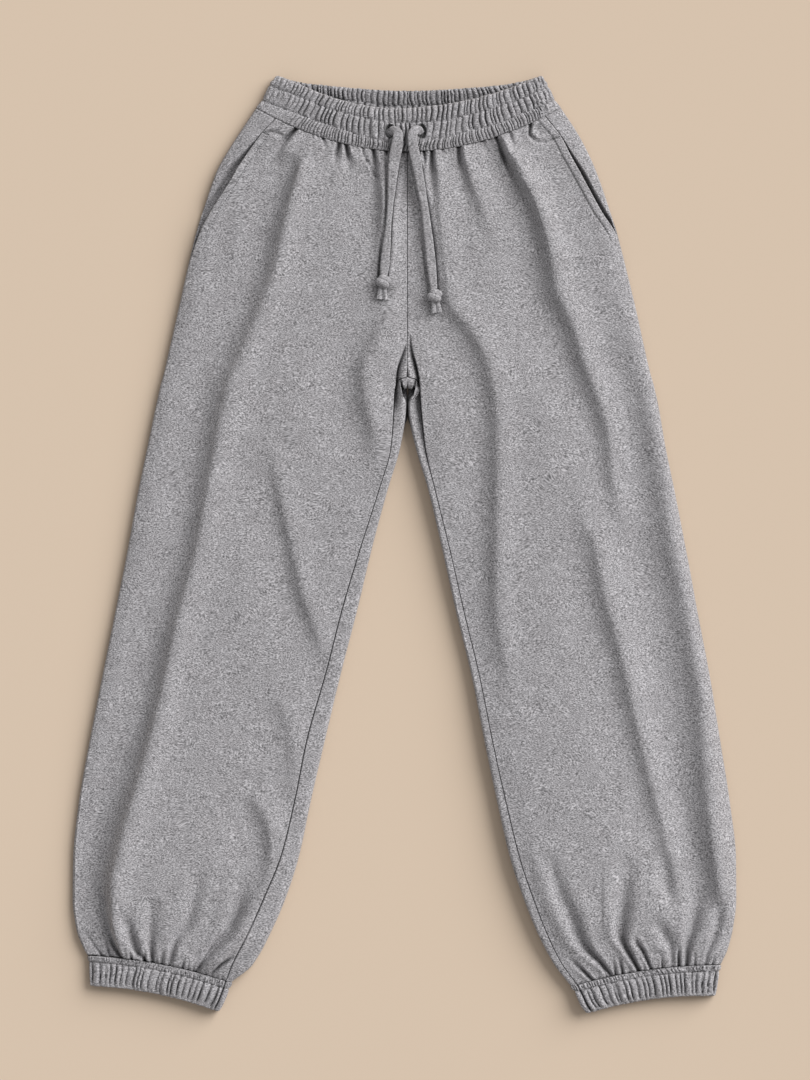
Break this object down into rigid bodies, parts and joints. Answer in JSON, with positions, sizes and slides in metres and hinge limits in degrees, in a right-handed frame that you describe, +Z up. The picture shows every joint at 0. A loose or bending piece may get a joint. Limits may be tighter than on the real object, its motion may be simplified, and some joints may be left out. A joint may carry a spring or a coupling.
{
  "type": "jogger sweatpants",
  "caption": "Wide jogger sweatpants in grey marl fleece laid flat on their back, with elastic waist and cuffs, slant pockets and a drawstring.",
  "frame": {"origin": "middle of the laid-out garment's underside, on the surface it lies on", "axes": "+X towards the wearer's left side, +Y towards the waist, +Z up out of the front; the back lies on z = 0"},
  "size_m": [0.7042, 0.9966, 0.0268],
  "materials": {
    "marl_fleece": "grey marl brushed-back fleece, matt, with a short nap",
    "gathered_band": "the same cloth gathered over elastic",
    "drawstring": "the same cloth sewn into a flat tube",
    "thread": "grey sewing thread"
  },
  "bodies": {
    "root": {"front_right": "marl_fleece", "front_left": "marl_fleece", "back_right": "marl_fleece", "back_left": "marl_fleece", "pocket_facing_right": "marl_fleece", "pocket_facing_left": "marl_fleece", "waistband": "gathered_band", "cuff_right": "gathered_band", "cuff_left": "gathered_band", "drawstring_right": "drawstring", "drawstring_left": "drawstring", "knot_right": "drawstring", "knot_left": "drawstring", "buttonhole_right": "thread", "buttonhole_left": "thread"}
  },
  "joints": []
}
